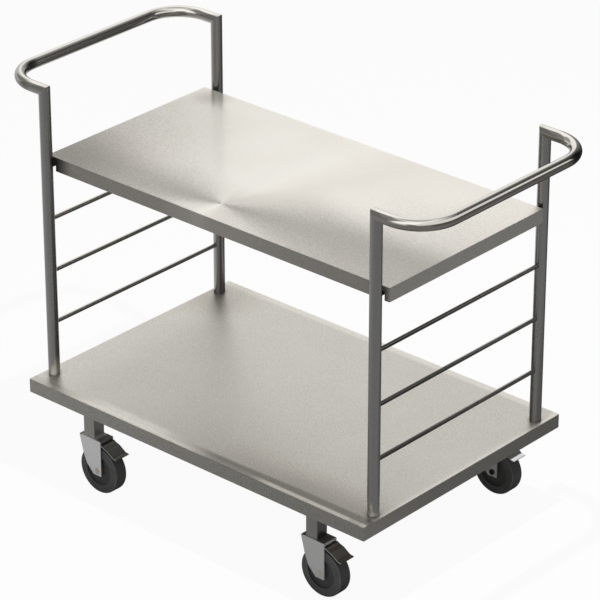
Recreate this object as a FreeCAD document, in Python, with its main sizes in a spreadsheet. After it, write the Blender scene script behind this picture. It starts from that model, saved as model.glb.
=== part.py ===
"""Two-tier stainless trolley on four braked castors.

The frame stands with its floor contact at z = 0, its long side along X and its depth along Y.
All sizes are in millimetres and live in one spreadsheet.
"""
import FreeCAD, Part
import math
import os

import Sketcher

SIZES = {
    # Deck: the lower sheet tray
    "deck_length": 900,
    "deck_width": 600,
    "deck_lip": 30,
    "sheet_gauge": 1.5,
    "edge_radius": 2.5,
    # Posts and handles share one round tube
    "tube_diameter": 24,
    "tube_wall": 1.5,
    "post_inset_x": 21,
    "post_inset_y": 52,
    "handle_above_rung": 165.5,
    "handle_reach": 115,
    "handle_bend": 81,
    # Rungs between the front and back posts
    "rung_diameter": 9,
    "rung_first": 114.5,
    "rung_pitch": 115.8,
    # Upper shelf, hung on the top rungs
    "shelf_gap": 7,
    "shelf_overhang": 17.5,
    "shelf_lip": 30,
    "shelf_seat": 11,
    "slot_clearance": 0.8,
    "seat_gap": 0.3,
    # Legs: square tubes under the deck, each with a bored plug in its foot
    "leg_inset_x": 149,
    "leg_inset_y": 34.7,
    "leg_side": 30,
    "leg_wall": 2,
    "leg_corner": 2.5,
    "leg_length": 85.5,
    "plug_height": 24,
    "washer_diameter": 26,
    "washer_thickness": 1,
    # Kingpin: turns in the plug and is riveted under the fork's crown
    "kingpin_diameter": 12,
    "kingpin_head_diameter": 18,
    "kingpin_head_height": 5,
    "kingpin_head_gap": 0.3,
    "rivet_height": 3,
    "running_clearance": 0.05,
    # Fork: an inverted U of plate
    "fork_plate": 2.5,
    "fork_back": 24,
    "fork_flange": 6,
    "fork_bend": 2,
    "foot_margin": 10.8,
    "cheek_taper_in": 10,
    "cheek_taper_drop": 39,
    "cheek_knee_in": 19,
    "cheek_knee_drop": 61.5,
    "cheek_round": 18,
    "castor_trail": 24.5,
    "crown_gap": 16,
    "side_gap": 1,
    # Wheel: tyre on a moulded centre, running on a sleeve
    "wheel_diameter": 103,
    "tyre_width": 30,
    "tyre_shoulder": 4,
    "tyre_bore": 66,
    "rim_depth": 4,
    "rim_set_back": 4,
    "web_thickness": 21,
    "hub_diameter": 24,
    "hub_gap": 0.5,
    "sleeve_diameter": 12,
    # Axle bolt and nut
    "axle_diameter": 8,
    "axle_head_diameter": 11,
    "axle_head_height": 1.6,
    "axle_nut_diameter": 11.6,
    "axle_nut_height": 3.2,
    "axle_end_margin": 0.8,
    # Brake pedal: a wavy plate hinged on a pin through the fork's cheeks
    "pedal_plate": 1.8,
    "pedal_neck_gap": 1,
    "pedal_pin_diameter": 5,
    "pedal_pin_set_back": 13.5,
    "pedal_pin_drop": 9.6,
    "pedal_neck_drop": 8.2,
    "pedal_root_out": 1.6,
    "pedal_step_out": 9.4,
    "pedal_step_drop": 12.2,
    "pedal_flat_out": 18.2,
    "pedal_flat_drop": 14.6,
    "pedal_dip_out": 34.2,
    "pedal_dip_drop": 25.2,
    "pedal_tip_out": 44,
    "pedal_tip_drop": 26.6,
    "pedal_bend": 6,
}

RUNGS_PER_END = 4
CORNERS = {
    "front_left": (-1, -1),
    "front_right": (1, -1),
    "back_left": (-1, 1),
    "back_right": (1, 1),
}
ENDS = {"left": -1, "right": 1}
FULL_TURN = 360
HALF_TURN = 180
SMALLEST_CUT = 0.001

document = FreeCAD.newDocument("trolley")
sheet = document.addObject("Spreadsheet::Sheet", "Sizes")
for row, (alias, size) in enumerate(SIZES.items(), start=1):
    sheet.set(f"A{row}", str(size))
    sheet.setAlias(f"A{row}", alias)
document.recompute()

# Places and sizes that follow from the sheet, as expressions
TUBE_RADIUS = "(Sizes.tube_diameter / 2)"
POST_X = "(Sizes.deck_length / 2 - Sizes.post_inset_x)"
POST_Y = "(Sizes.deck_width / 2 - Sizes.post_inset_y)"
LEG_X = "(Sizes.deck_length / 2 - Sizes.leg_inset_x)"
LEG_Y = "(Sizes.deck_width / 2 - Sizes.leg_inset_y)"
WHEEL_RADIUS = "(Sizes.wheel_diameter / 2)"
FORK_HEIGHT = f"({WHEEL_RADIUS} + Sizes.crown_gap + Sizes.fork_plate)"
FORK_TOP = f"({WHEEL_RADIUS} + {FORK_HEIGHT})"
FORK_INSIDE = "(Sizes.tyre_width + 2 * Sizes.side_gap)"
FORK_WIDTH = f"({FORK_INSIDE} + 2 * Sizes.fork_plate)"
FORK_FRONT = "(Sizes.castor_trail + Sizes.foot_margin)"
LEG_FOOT = f"({FORK_TOP} + Sizes.washer_thickness)"
LEG_HOLLOW = "(Sizes.leg_side - 2 * Sizes.leg_wall)"
DECK_TOP = f"({LEG_FOOT} + Sizes.leg_length + Sizes.sheet_gauge)"
TOP_RUNG = f"({DECK_TOP} + Sizes.rung_first + {RUNGS_PER_END - 1} * Sizes.rung_pitch)"
HANDLE_AXIS = f"({TOP_RUNG} + Sizes.handle_above_rung)"
SLOT_WIDTH = "(Sizes.rung_diameter + 2 * Sizes.slot_clearance)"
SLOT_END = f"({TOP_RUNG} + Sizes.rung_diameter / 2 + Sizes.seat_gap)"
SHELF_TOP = f"({SLOT_END} + Sizes.shelf_seat)"
SHELF_LENGTH = f"(2 * ({POST_X} + Sizes.shelf_overhang))"
SHELF_WIDTH = f"(2 * ({POST_Y} - {TUBE_RADIUS} - Sizes.shelf_gap))"
SWIVEL_BORE = "(Sizes.kingpin_diameter + 2 * Sizes.running_clearance)"
PEDAL_PIN_X = f"({FORK_FRONT} - Sizes.pedal_pin_set_back)"

nodes = []


def number(expression):
    """Value of an expression over the sheet."""
    return float(sheet.evalExpression(expression))


def keep(piece, label):
    """Name a finished piece and list it for writing."""
    piece.Label = label
    nodes.append(piece)


def place(piece, x, y, z, turn=0):
    """Set a piece at expressions x, y, z, turned about Z by a fixed angle."""
    rotation = FreeCAD.Rotation(FreeCAD.Vector(0, 0, 1), turn)
    piece.Placement = FreeCAD.Placement(FreeCAD.Vector(0, 0, 0), rotation)
    for axis, expression in zip("xyz", (x, y, z)):
        piece.setExpression(f"Placement.Base.{axis}", expression)


def new_sketch(body, role):
    """Sketch on one of the body's own origin planes."""
    plane = next(item for item in body.Origin.OriginFeatures if item.Role == role)
    sketch = body.newObject("Sketcher::SketchObject", "sketch")
    sketch.AttachmentSupport = [(plane, "")]
    sketch.MapMode = "FlatFace"
    return sketch


def hold(sketch, kind, geometry, point, expression):
    """Tie one coordinate of a sketch point to an expression."""
    size = number(expression)
    index = sketch.addConstraint(Sketcher.Constraint(kind, -1, 1, geometry, point, size))
    sketch.setExpression(f"Constraints[{index}]", expression)


def polygon(sketch, corners):
    """Closed outline through corners given as pairs of expressions."""
    first = sketch.GeometryCount
    points = [FreeCAD.Vector(number(x), number(y), 0) for x, y in corners]
    count = len(points)
    for index in range(count):
        sketch.addGeometry(Part.LineSegment(points[index], points[(index + 1) % count]), False)
    for index in range(count):
        following = first + (index + 1) % count
        sketch.addConstraint(Sketcher.Constraint("Coincident", first + index, 2, following, 1))
    for index, (x, y) in enumerate(corners):
        hold(sketch, "DistanceX", first + index, 1, x)
        hold(sketch, "DistanceY", first + index, 1, y)


def rectangle(sketch, x0, y0, x1, y1):
    """Rectangle between two corners given as expressions."""
    polygon(sketch, [(x0, y0), (x1, y0), (x1, y1), (x0, y1)])


def centred_rectangle(sketch, width, height):
    """Rectangle about the sketch's origin."""
    half_width = f"({width}) / 2"
    half_height = f"({height}) / 2"
    rectangle(sketch, f"-{half_width}", f"-{half_height}", half_width, half_height)


def circle(sketch, diameter, x="0", y="0"):
    """Circle at a centre given as expressions."""
    centre = FreeCAD.Vector(number(x), number(y), 0)
    normal = FreeCAD.Vector(0, 0, 1)
    index = sketch.addGeometry(Part.Circle(centre, normal, number(diameter) / 2), False)
    hold(sketch, "DistanceX", index, 3, x)
    hold(sketch, "DistanceY", index, 3, y)
    rule = sketch.addConstraint(Sketcher.Constraint("Diameter", index, number(diameter)))
    sketch.setExpression(f"Constraints[{rule}]", diameter)


def new_body(name):
    """Empty body."""
    return document.addObject("PartDesign::Body", name)


def pad(body, sketch, length, symmetric=False):
    """Raise a sketch by a length, up its normal or to both sides."""
    feature = body.newObject("PartDesign::Pad", "pad")
    feature.Profile = sketch
    feature.setExpression("Length", length)
    if symmetric:
        feature.SideType = "Symmetric"
    document.recompute()
    return feature


def pocket(body, sketch, length=None, symmetric=True, backwards=False):
    """Cut a sketch out of the body, right through unless a length is given."""
    before = body.Tip.Shape.Volume
    feature = body.newObject("PartDesign::Pocket", "pocket")
    feature.Profile = sketch
    if symmetric:
        feature.SideType = "Symmetric"
    feature.Reversed = backwards
    if length is None:
        feature.Type = "ThroughAll"
    else:
        feature.setExpression("Length", length)
    document.recompute()
    if before - feature.Shape.Volume < SMALLEST_CUT:
        raise ValueError(f"{body.Name}: a cut took nothing away")
    return feature


def revolve(body, sketch):
    """Turn a sketch round its own vertical axis."""
    feature = body.newObject("PartDesign::Revolution", "revolution")
    feature.Profile = sketch
    feature.ReferenceAxis = (sketch, ["V_Axis"])
    feature.Angle = FULL_TURN
    document.recompute()
    return feature


def round_edges(body, radius, chosen):
    """Round the edges of the body that a test chooses."""
    base = body.Tip
    names = [f"Edge{index}" for index, edge in enumerate(base.Shape.Edges, start=1) if chosen(edge)]
    feature = body.newObject("PartDesign::Fillet", "fillet")
    feature.Base = (base, names)
    feature.setExpression("Radius", radius)
    document.recompute()
    return feature


def runs_along(edge, axis):
    """True for a straight edge along X, Y or Z."""
    if edge.Curve.TypeId != "Part::GeomLine":
        return False
    step = edge.Vertexes[1].Point - edge.Vertexes[0].Point
    return abs(getattr(step, axis)) > 0.999 * step.Length


def near(first, second):
    """True for two lengths that are the same for this model."""
    return abs(first - second) < 0.01


def sheet_tray(name, length, width, lip):
    """Sheet with a lip turned down on all sides, its top face at z = 0."""
    body = new_body(name)
    outer = new_sketch(body, "XY_Plane")
    centred_rectangle(outer, length, width)
    slab = pad(body, outer, lip)
    slab.Reversed = True
    document.recompute()
    outer_half = (number(length) / 2, number(width) / 2)

    def outer_edge(edge):
        """Top edges and corner edges of the slab."""
        middle = edge.CenterOfMass
        return near(middle.z, 0) or (near(abs(middle.x), outer_half[0]) and near(abs(middle.y), outer_half[1]))

    round_edges(body, "Sizes.edge_radius", outer_edge)
    inner = new_sketch(body, "XY_Plane")
    centred_rectangle(inner, f"{length} - 2 * Sizes.sheet_gauge", f"{width} - 2 * Sizes.sheet_gauge")
    inner.setExpression("AttachmentOffset.Base.z", f"-({lip})")
    pocket(body, inner, f"{lip} - Sizes.sheet_gauge", symmetric=False, backwards=True)
    inner_half = (number(length) / 2 - number("Sizes.sheet_gauge"), number(width) / 2 - number("Sizes.sheet_gauge"))

    def inner_edge(edge):
        """Edges inside the bends and the corners of the tray."""
        middle = edge.CenterOfMass
        at_sheet = near(middle.z, -number("Sizes.sheet_gauge"))
        at_corner = near(abs(middle.x), inner_half[0]) and near(abs(middle.y), inner_half[1])
        return at_sheet or at_corner

    round_edges(body, "Sizes.edge_radius - Sizes.sheet_gauge", inner_edge)
    return body


def make_deck():
    """Lower tray."""
    body = sheet_tray("deck", "Sizes.deck_length", "Sizes.deck_width", "Sizes.deck_lip")
    place(body, "0", "0", DECK_TOP)
    keep(body, "deck")


def make_upper_shelf():
    """Upper tray, with a round-ended slot over each end of the two top rungs."""
    body = sheet_tray("upper_shelf", SHELF_LENGTH, SHELF_WIDTH, "Sizes.shelf_lip")
    mouths = new_sketch(body, "XZ_Plane")
    ends = new_sketch(body, "XZ_Plane")
    end_centre = f"-(Sizes.shelf_seat + {SLOT_WIDTH} / 2)"
    for side in ENDS.values():
        middle = f"{side} * {POST_X}"
        rectangle(mouths, f"{middle} - {SLOT_WIDTH} / 2", "-2 * Sizes.shelf_lip",
                  f"{middle} + {SLOT_WIDTH} / 2", end_centre)
        circle(ends, SLOT_WIDTH, middle, end_centre)
    pocket(body, mouths)
    pocket(body, ends)
    place(body, "0", "0", SHELF_TOP)
    keep(body, "upper_shelf")


def make_post(corner, side_x, side_y):
    """Round tube from the deck up to the handle, cut at 45 degrees where the handle turns outwards."""
    body = new_body(f"post_{corner}")
    ring = new_sketch(body, "XY_Plane")
    circle(ring, "Sizes.tube_diameter")
    circle(ring, "Sizes.tube_diameter - 2 * Sizes.tube_wall")
    rise = f"({HANDLE_AXIS} - {DECK_TOP})"
    pad(body, ring, f"{rise} + {TUBE_RADIUS}")
    mitre = new_sketch(body, "XZ_Plane")
    spare = "Sizes.tube_diameter"
    polygon(mitre, [(f"-{spare}", f"{rise} + {spare}"), (spare, f"{rise} - {spare}"), (spare, f"{rise} + {spare}")])
    pocket(body, mitre)
    turn = 0 if side_x > 0 else HALF_TURN
    place(body, f"{side_x} * {POST_X}", f"{side_y} * {POST_Y}", DECK_TOP, turn)
    keep(body, f"post_{corner}")


def make_handle(end, side):
    """U of tube lying level: out from the front post, across, and back to the back post."""
    body = new_body(f"handle_{end}")
    start = f"-{TUBE_RADIUS}"
    ring = new_sketch(body, "YZ_Plane")
    ring.setExpression("AttachmentOffset.Base.z", start)
    circle(ring, "Sizes.tube_diameter", f"-{POST_Y}")
    circle(ring, "Sizes.tube_diameter - 2 * Sizes.tube_wall", f"-{POST_Y}")
    spine = new_sketch(body, "XY_Plane")
    lay_handle_spine(spine, start)
    document.recompute()
    pipe = body.newObject("PartDesign::AdditivePipe", "pipe")
    pipe.Profile = ring
    pipe.Spine = spine
    document.recompute()
    mitre = new_sketch(body, "XZ_Plane")
    spare = "Sizes.tube_diameter"
    polygon(mitre, [(f"-{spare}", spare), (spare, f"-{spare}"), (f"-{spare}", f"-{spare}")])
    pocket(body, mitre)
    turn = 0 if side > 0 else HALF_TURN
    place(body, f"{side} * {POST_X}", "0", HANDLE_AXIS, turn)
    keep(body, f"handle_{end}")


def lay_handle_spine(spine, start):
    """Centre line of a handle: straight, quarter bend, crossbar, quarter bend, straight."""
    reach = "Sizes.handle_reach"
    bend = "Sizes.handle_bend"
    bend_x = number(f"{reach} - {bend}")
    bend_y = number(f"{POST_Y} - {bend}")
    post_y = number(POST_Y)
    reach_x = number(reach)
    start_x = number(start)
    radius = number(bend)
    quarter = math.pi / 2

    def straight(x0, y0, x1, y1):
        """Add a straight run."""
        spine.addGeometry(Part.LineSegment(FreeCAD.Vector(x0, y0, 0), FreeCAD.Vector(x1, y1, 0)), False)

    def quarter_bend(y, begin):
        """Add a quarter bend about a centre at bend_x, y."""
        full = Part.Circle(FreeCAD.Vector(bend_x, y, 0), FreeCAD.Vector(0, 0, 1), radius)
        spine.addGeometry(Part.ArcOfCircle(full, begin, begin + quarter), False)

    straight(start_x, -post_y, bend_x, -post_y)
    quarter_bend(-bend_y, -quarter)
    straight(reach_x, -bend_y, reach_x, bend_y)
    quarter_bend(bend_y, 0)
    straight(bend_x, post_y, start_x, post_y)
    for run in range(4):
        spine.addConstraint(Sketcher.Constraint("Tangent", run, 2, run + 1, 1))
    for arc in (1, 3):
        rule = spine.addConstraint(Sketcher.Constraint("Radius", arc, radius))
        spine.setExpression(f"Constraints[{rule}]", bend)
    spine.addConstraint(Sketcher.Constraint("Horizontal", 0))
    spine.addConstraint(Sketcher.Constraint("Vertical", 2))
    spine.addConstraint(Sketcher.Constraint("Horizontal", 4))
    hold(spine, "DistanceX", 0, 1, start)
    hold(spine, "DistanceY", 0, 1, f"-{POST_Y}")
    hold(spine, "DistanceX", 2, 1, reach)
    hold(spine, "DistanceX", 4, 2, start)
    hold(spine, "DistanceY", 4, 2, POST_Y)


def make_rung(end, side, level):
    """Round bar between a front and a back post, its ends cut to the posts' round."""
    body = new_body(f"rung_{end}_{level + 1}")
    section = new_sketch(body, "XZ_Plane")
    circle(section, "Sizes.rung_diameter")
    pad(body, section, f"2 * {POST_Y}", symmetric=True)
    saddles = new_sketch(body, "XY_Plane")
    circle(saddles, "Sizes.tube_diameter", "0", POST_Y)
    circle(saddles, "Sizes.tube_diameter", "0", f"-{POST_Y}")
    pocket(body, saddles)
    height = f"{DECK_TOP} + Sizes.rung_first + {level} * Sizes.rung_pitch"
    place(body, f"{side} * {POST_X}", "0", height)
    keep(body, f"rung_{end}_{level + 1}")


def make_leg(corner, side_x, side_y):
    """Square tube from the deck's underside down to the castor."""
    body = new_body(f"leg_{corner}")
    section = new_sketch(body, "XY_Plane")
    centred_rectangle(section, "Sizes.leg_side", "Sizes.leg_side")
    centred_rectangle(section, LEG_HOLLOW, LEG_HOLLOW)
    pad(body, section, "Sizes.leg_length")
    outside = number("Sizes.leg_side") / 2
    round_edges(body, "Sizes.leg_corner",
                lambda edge: runs_along(edge, "z") and near(abs(edge.CenterOfMass.x), outside))
    inside = number(LEG_HOLLOW) / 2
    round_edges(body, "Sizes.leg_corner - Sizes.leg_wall",
                lambda edge: runs_along(edge, "z") and near(abs(edge.CenterOfMass.x), inside)
                and near(abs(edge.CenterOfMass.y), inside))
    place(body, f"{side_x} * {LEG_X}", f"{side_y} * {LEG_Y}", LEG_FOOT)
    keep(body, f"leg_{corner}")


def group(pieces, label):
    """One node of several like solids."""
    compound = document.addObject("Part::Compound", label)
    compound.Links = pieces
    keep(compound, label)


def make_leg_plugs():
    """Bored block in the foot of each leg."""
    plugs = []
    for corner, (side_x, side_y) in CORNERS.items():
        body = new_body(f"plug_{corner}")
        section = new_sketch(body, "XY_Plane")
        centred_rectangle(section, LEG_HOLLOW, LEG_HOLLOW)
        pad(body, section, "Sizes.plug_height")
        round_edges(body, "Sizes.leg_corner - Sizes.leg_wall", lambda edge: runs_along(edge, "z"))
        bore = new_sketch(body, "XY_Plane")
        circle(bore, SWIVEL_BORE)
        pocket(body, bore)
        place(body, f"{side_x} * {LEG_X}", f"{side_y} * {LEG_Y}", LEG_FOOT)
        plugs.append(body)
    group(plugs, "leg_plugs")


def make_thrust_washers():
    """Washer between each leg and the fork that turns under it."""
    washers = []
    for corner, (side_x, side_y) in CORNERS.items():
        body = new_body(f"washer_{corner}")
        ring = new_sketch(body, "XY_Plane")
        circle(ring, "Sizes.washer_diameter")
        circle(ring, SWIVEL_BORE)
        pad(body, ring, "Sizes.washer_thickness")
        place(body, f"{side_x} * {LEG_X}", f"{side_y} * {LEG_Y}", FORK_TOP)
        washers.append(body)
    group(washers, "thrust_washers")


def make_fork(corner, swivel_x, swivel_y):
    """Inverted U of plate: flat crown, short front flange and two tapering cheeks."""
    body = new_body(f"fork_{corner}")
    back = "Sizes.fork_back"
    foot = f"-({FORK_HEIGHT} + Sizes.foot_margin)"
    cheek = new_sketch(body, "XZ_Plane")
    taper_corner = (f"Sizes.cheek_taper_in - {back}", "-Sizes.cheek_taper_drop")
    knee_corner = (f"Sizes.cheek_knee_in - {back}", "-Sizes.cheek_knee_drop")
    polygon(cheek, [
        (f"-{back}", "0"),
        taper_corner,
        knee_corner,
        ("Sizes.castor_trail - Sizes.foot_margin", foot),
        (FORK_FRONT, foot),
        (FORK_FRONT, "0"),
    ])
    pad(body, cheek, FORK_WIDTH, symmetric=True)
    soft_corners = [tuple(number(value) for value in pair) for pair in (taper_corner, knee_corner)]

    def slanted_edge(edge):
        """Edges across the fork where the cheek's back edge bends."""
        middle = edge.CenterOfMass
        return any(near(middle.x, x) and near(middle.z, z) for x, z in soft_corners)

    round_edges(body, "Sizes.cheek_round", slanted_edge)
    half_width = number(FORK_WIDTH) / 2
    front = number(FORK_FRONT)

    def crown_edge(edge):
        """Long edges of the crown and its front edge."""
        middle = edge.CenterOfMass
        return near(middle.z, 0) and (near(abs(middle.y), half_width) or near(middle.x, front))

    round_edges(body, "Sizes.fork_bend", crown_edge)
    channel = new_sketch(body, "YZ_Plane")
    rectangle(channel, f"-{FORK_INSIDE} / 2", f"2 * {foot}", f"{FORK_INSIDE} / 2", "-Sizes.fork_flange")
    pocket(body, channel)
    throat = new_sketch(body, "XZ_Plane")
    rectangle(throat, f"-2 * {back}", "-Sizes.fork_flange", f"{FORK_FRONT} - Sizes.fork_plate", "-Sizes.fork_plate")
    pocket(body, throat, FORK_INSIDE)
    swivel_hole = new_sketch(body, "XY_Plane")
    circle(swivel_hole, SWIVEL_BORE)
    pocket(body, swivel_hole)
    cross_holes = new_sketch(body, "XZ_Plane")
    circle(cross_holes, "Sizes.axle_diameter + 2 * Sizes.running_clearance", "Sizes.castor_trail", f"-{FORK_HEIGHT}")
    circle(cross_holes, "Sizes.pedal_pin_diameter + 2 * Sizes.running_clearance", PEDAL_PIN_X, "-Sizes.pedal_pin_drop")
    pocket(body, cross_holes)
    place(body, swivel_x, swivel_y, FORK_TOP)
    keep(body, f"fork_{corner}")


def make_kingpin(corner, swivel_x, swivel_y):
    """Pin from a rivet head under the crown up through the plug to a head inside the leg."""
    body = new_body(f"kingpin_{corner}")
    half = new_sketch(body, "XZ_Plane")
    shank = "Sizes.kingpin_diameter / 2"
    head = "Sizes.kingpin_head_diameter / 2"
    under_crown = "-Sizes.fork_plate"
    head_seat = "(Sizes.washer_thickness + Sizes.plug_height + Sizes.kingpin_head_gap)"
    polygon(half, [
        ("0", f"{under_crown} - Sizes.rivet_height"),
        (head, f"{under_crown} - Sizes.rivet_height"),
        (head, under_crown),
        (shank, under_crown),
        (shank, head_seat),
        (head, head_seat),
        (head, f"{head_seat} + Sizes.kingpin_head_height"),
        ("0", f"{head_seat} + Sizes.kingpin_head_height"),
    ])
    revolve(body, half)
    place(body, swivel_x, swivel_y, FORK_TOP)
    keep(body, f"kingpin_{corner}")


def make_turned(name, corner, half_outline, x, y, turn=0):
    """Turned piece on the wheel's axis: the outline is (radius, place along the axis)."""
    body = new_body(f"{name}_{corner}")
    half = new_sketch(body, "XY_Plane")
    polygon(half, half_outline)
    revolve(body, half)
    place(body, x, y, WHEEL_RADIUS, turn)
    return body


def make_axle(corner, axle_x, axle_y, turn):
    """Bolt with its head on the outer side, nut on the inner side and sleeve between the cheeks."""
    shank = "Sizes.axle_diameter / 2"
    head = "Sizes.axle_head_diameter / 2"
    nut = "Sizes.axle_nut_diameter / 2"
    cheek = f"{FORK_WIDTH} / 2"
    bolt_end = f"{cheek} + Sizes.axle_nut_height - Sizes.axle_end_margin"
    bolt = make_turned("axle_bolt", corner, [
        ("0", f"-({cheek} + Sizes.axle_head_height)"),
        (head, f"-({cheek} + Sizes.axle_head_height)"),
        (head, f"-{cheek}"),
        (shank, f"-{cheek}"),
        (shank, bolt_end),
        ("0", bolt_end),
    ], axle_x, axle_y, turn)
    keep(bolt, f"axle_bolt_{corner}")
    bore = f"{shank} + Sizes.running_clearance"
    nut_piece = make_turned("axle_nut", corner, [
        (bore, cheek),
        (nut, cheek),
        (nut, f"{cheek} + Sizes.axle_nut_height"),
        (bore, f"{cheek} + Sizes.axle_nut_height"),
    ], axle_x, axle_y, turn)
    keep(nut_piece, f"axle_nut_{corner}")
    inside = f"{FORK_INSIDE} / 2"
    sleeve = make_turned("axle_sleeve", corner, [
        (bore, f"-{inside}"),
        ("Sizes.sleeve_diameter / 2", f"-{inside}"),
        ("Sizes.sleeve_diameter / 2", inside),
        (bore, inside),
    ], axle_x, axle_y)
    keep(sleeve, f"axle_sleeve_{corner}")


def make_wheel(corner, axle_x, axle_y):
    """Moulded centre with hub, web and rim, and the tyre round it."""
    bore = "Sizes.sleeve_diameter / 2 + Sizes.running_clearance"
    hub = "Sizes.hub_diameter / 2"
    hub_end = f"({FORK_INSIDE} / 2 - Sizes.hub_gap)"
    web = "Sizes.web_thickness / 2"
    rim = "Sizes.tyre_bore / 2"
    rim_end = "(Sizes.tyre_width / 2 - Sizes.rim_set_back)"
    centre = make_turned("wheel_centre", corner, [
        (bore, f"-{hub_end}"),
        (hub, f"-{hub_end}"),
        (hub, f"-{web}"),
        (f"{rim} - Sizes.rim_depth", f"-{web}"),
        (f"{rim} - Sizes.rim_depth", f"-{rim_end}"),
        (rim, f"-{rim_end}"),
        (rim, rim_end),
        (f"{rim} - Sizes.rim_depth", rim_end),
        (f"{rim} - Sizes.rim_depth", web),
        (hub, web),
        (hub, hub_end),
        (bore, hub_end),
    ], axle_x, axle_y)
    keep(centre, f"wheel_centre_{corner}")
    side = "Sizes.tyre_width / 2"
    tyre = make_turned("tyre", corner, [
        (rim, f"-{side}"),
        (WHEEL_RADIUS, f"-{side}"),
        (WHEEL_RADIUS, side),
        (rim, side),
    ], axle_x, axle_y)
    tread = number(WHEEL_RADIUS)
    round_edges(tyre, "Sizes.tyre_shoulder",
                lambda edge: edge.Curve.TypeId == "Part::GeomCircle" and near(edge.Curve.Radius, tread))
    keep(tyre, f"tyre_{corner}")


def bent_strip(points, bend, plate, width):
    """Plate of even thickness along a bent centre line in the XZ plane, spread to both sides of it."""
    corners = [FreeCAD.Vector(x, 0, z) for x, z in points]
    edges = []
    start = corners[0]
    for corner, following in zip(corners[1:], corners[2:]):
        arriving = (corner - start).normalize()
        leaving = FreeCAD.Vector(following - corner).normalize()
        turn = arriving.getAngle(leaving)
        setback = bend * math.tan(turn / 2)
        arc_start = corner - arriving * setback
        arc_end = corner + leaving * setback
        bisector = (leaving - arriving).normalize()
        arc_middle = corner + bisector * (bend / math.cos(turn / 2) - bend)
        edges.append(Part.LineSegment(start, arc_start).toShape())
        edges.append(Part.Arc(arc_start, arc_middle, arc_end).toShape())
        start = arc_end
    edges.append(Part.LineSegment(start, corners[-1]).toShape())
    across = FreeCAD.Vector(0, width, 0)
    ribbon = Part.Wire(edges).extrude(across)
    ribbon.translate(across * -0.5)
    half = plate / 2
    upper = ribbon.makeOffsetShape(half, SMALLEST_CUT, fill=True)
    lower = ribbon.makeOffsetShape(-half, SMALLEST_CUT, fill=True)
    return upper.fuse(lower).removeSplitter()


def make_pedal(corner, swivel_x, swivel_y):
    """Wavy plate, narrow between the cheeks and full width outside, with a knuckle round its pin."""
    front = number(FORK_FRONT)
    pin = (number(PEDAL_PIN_X), -number("Sizes.pedal_pin_drop"))
    neck_z = -number("Sizes.pedal_neck_drop")
    plate = number("Sizes.pedal_plate")
    neck_width = number(f"{FORK_INSIDE} - 2 * Sizes.pedal_neck_gap")
    root = front + number("Sizes.pedal_root_out")
    wave = [(root, neck_z)]
    for bend_name in ("step", "flat", "dip", "tip"):
        out = number(f"Sizes.pedal_{bend_name}_out")
        drop = number(f"Sizes.pedal_{bend_name}_drop")
        wave.append((front + out, -drop))
    tread = bent_strip(wave, number("Sizes.pedal_bend"), plate, number(FORK_WIDTH))
    neck = Part.makeBox(root - pin[0], neck_width, plate,
                        FreeCAD.Vector(pin[0], -neck_width / 2, neck_z - plate / 2))
    along = FreeCAD.Vector(0, 1, 0)
    pin_start = FreeCAD.Vector(pin[0], -neck_width / 2, pin[1])
    bore_radius = number("Sizes.pedal_pin_diameter / 2 + Sizes.running_clearance")
    knuckle = Part.makeCylinder(bore_radius + plate, neck_width, pin_start, along)
    bore = Part.makeCylinder(bore_radius, neck_width, pin_start, along)
    shape = neck.fuse([tread, knuckle]).removeSplitter().cut(bore)
    piece = document.addObject("Part::Feature", f"brake_pedal_{corner}")
    piece.Shape = shape
    place(piece, swivel_x, swivel_y, FORK_TOP)
    keep(piece, f"brake_pedal_{corner}")


def make_pedal_pin(corner, swivel_x, swivel_y):
    """Plain pin, flush with the outside of both cheeks."""
    body = new_body(f"pedal_pin_{corner}")
    section = new_sketch(body, "XZ_Plane")
    circle(section, "Sizes.pedal_pin_diameter", PEDAL_PIN_X, "-Sizes.pedal_pin_drop")
    pad(body, section, FORK_WIDTH, symmetric=True)
    place(body, swivel_x, swivel_y, FORK_TOP)
    keep(body, f"pedal_pin_{corner}")


def make_castor(corner, side_x, side_y):
    """Everything that swivels under one leg; the wheel trails towards +X."""
    swivel_x = f"{side_x} * {LEG_X}"
    swivel_y = f"{side_y} * {LEG_Y}"
    axle_x = f"{swivel_x} + Sizes.castor_trail"
    make_fork(corner, swivel_x, swivel_y)
    make_kingpin(corner, swivel_x, swivel_y)
    make_axle(corner, axle_x, swivel_y, 0 if side_y < 0 else HALF_TURN)
    make_wheel(corner, axle_x, swivel_y)
    make_pedal(corner, swivel_x, swivel_y)
    make_pedal_pin(corner, swivel_x, swivel_y)


def write_parts():
    """Check every object and every finished shape, then write one file per node."""
    document.recompute()
    for item in document.Objects:
        if "Invalid" in item.State or "Error" in item.State:
            raise RuntimeError(f"{item.Label} failed: {item.State}")
    for piece in nodes:
        if piece.Shape.isNull() or not piece.Shape.isValid():
            raise RuntimeError(f"{piece.Label} has no valid shape")
    os.makedirs("parts", exist_ok=True)
    for piece in nodes:
        piece.Shape.exportStep(f"parts/{piece.Label}.step")
        print(piece.Label, len(piece.Shape.Solids), round(piece.Shape.Volume, 1))


make_deck()
make_upper_shelf()
for corner, (side_x, side_y) in CORNERS.items():
    make_post(corner, side_x, side_y)
    make_leg(corner, side_x, side_y)
for end, side in ENDS.items():
    make_handle(end, side)
    for level in range(RUNGS_PER_END):
        make_rung(end, side, level)
make_leg_plugs()
make_thrust_washers()
for corner, (side_x, side_y) in CORNERS.items():
    make_castor(corner, side_x, side_y)
write_parts()
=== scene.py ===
"""Looks of a stainless shelf trolley on braked castors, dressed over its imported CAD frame.

Every piece of the trolley is a CAD node that keeps its shape. This script gives each one its finish, lights the set
and places the camera. Places and spans of places are in metres in the frame's axes: X runs along the trolley to its
right end, Y to its back and Z up.
"""
from __future__ import annotations

import logging
import math
from dataclasses import dataclass, field, replace
from enum import Enum
from functools import partial, reduce
from typing import Any

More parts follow.
